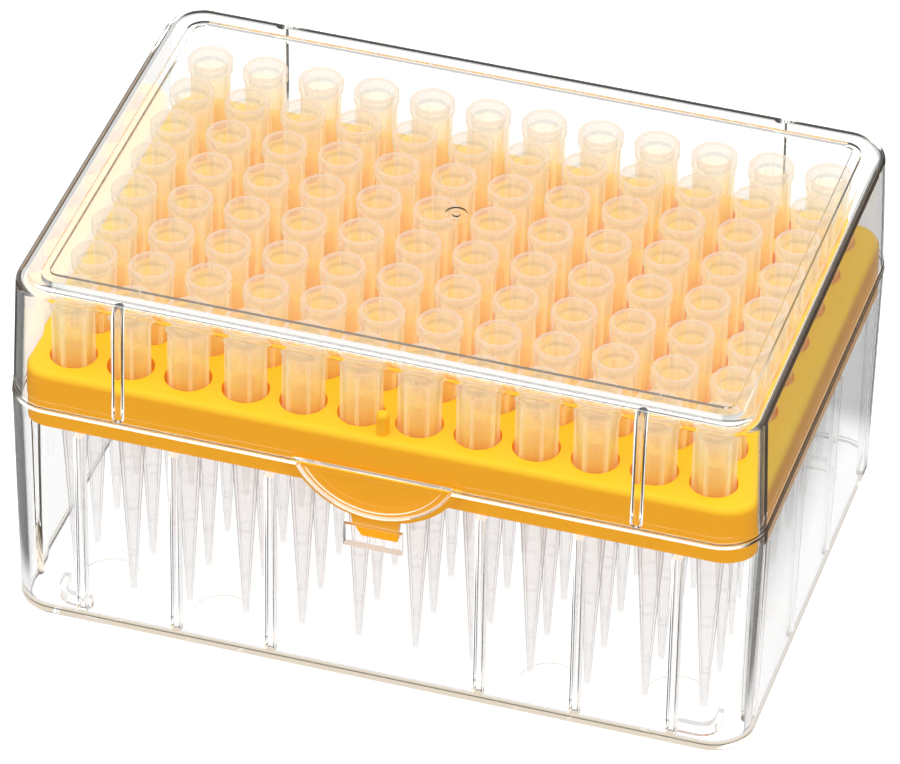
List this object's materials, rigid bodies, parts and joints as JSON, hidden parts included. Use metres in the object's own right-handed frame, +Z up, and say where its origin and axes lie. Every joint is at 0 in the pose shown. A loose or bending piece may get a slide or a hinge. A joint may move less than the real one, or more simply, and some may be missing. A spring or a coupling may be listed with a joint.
{
  "type": "box of pipette tips",
  "caption": "Clear lidded box holding a yellow plate of small translucent pipette tips in a grid, with a thumb tab and latch at the front.",
  "frame": {"origin": "on the standing surface, under the middle of the box", "axes": "+Z up; +X along the long side, along the twelve columns of tips; -Y towards the front, where the lid's thumb tab is"},
  "size_m": [0.117, 0.0812, 0.0627],
  "materials": {
    "clear_plastic": "clear glossy polystyrene",
    "yellow_plastic": "satin yellow polypropylene",
    "tip_plastic": "translucent natural polypropylene"
  },
  "bodies": {
    "base": {"base_box": "clear_plastic"},
    "tray": {"tip_tray": "yellow_plastic", "tip_column_01": "tip_plastic", "tip_column_02": "tip_plastic", "tip_column_03": "tip_plastic", "tip_column_04": "tip_plastic", "tip_column_05": "tip_plastic", "tip_column_06": "tip_plastic", "tip_column_07": "tip_plastic", "tip_column_08": "tip_plastic", "tip_column_09": "tip_plastic", "tip_column_10": "tip_plastic", "tip_column_11": "tip_plastic", "tip_column_12": "tip_plastic"},
    "lid": {"lid": "clear_plastic"}
  },
  "joints": [
    {"name": "tray_lift", "type": "slide", "parent": "base", "child": "tray", "axis": [0, 0, 1], "range_m": [0, 0.06]},
    {"name": "lid_lift", "type": "slide", "parent": "tray", "child": "lid", "axis": [0, 0, 1], "range_m": [0, 0.04]}
  ]
}
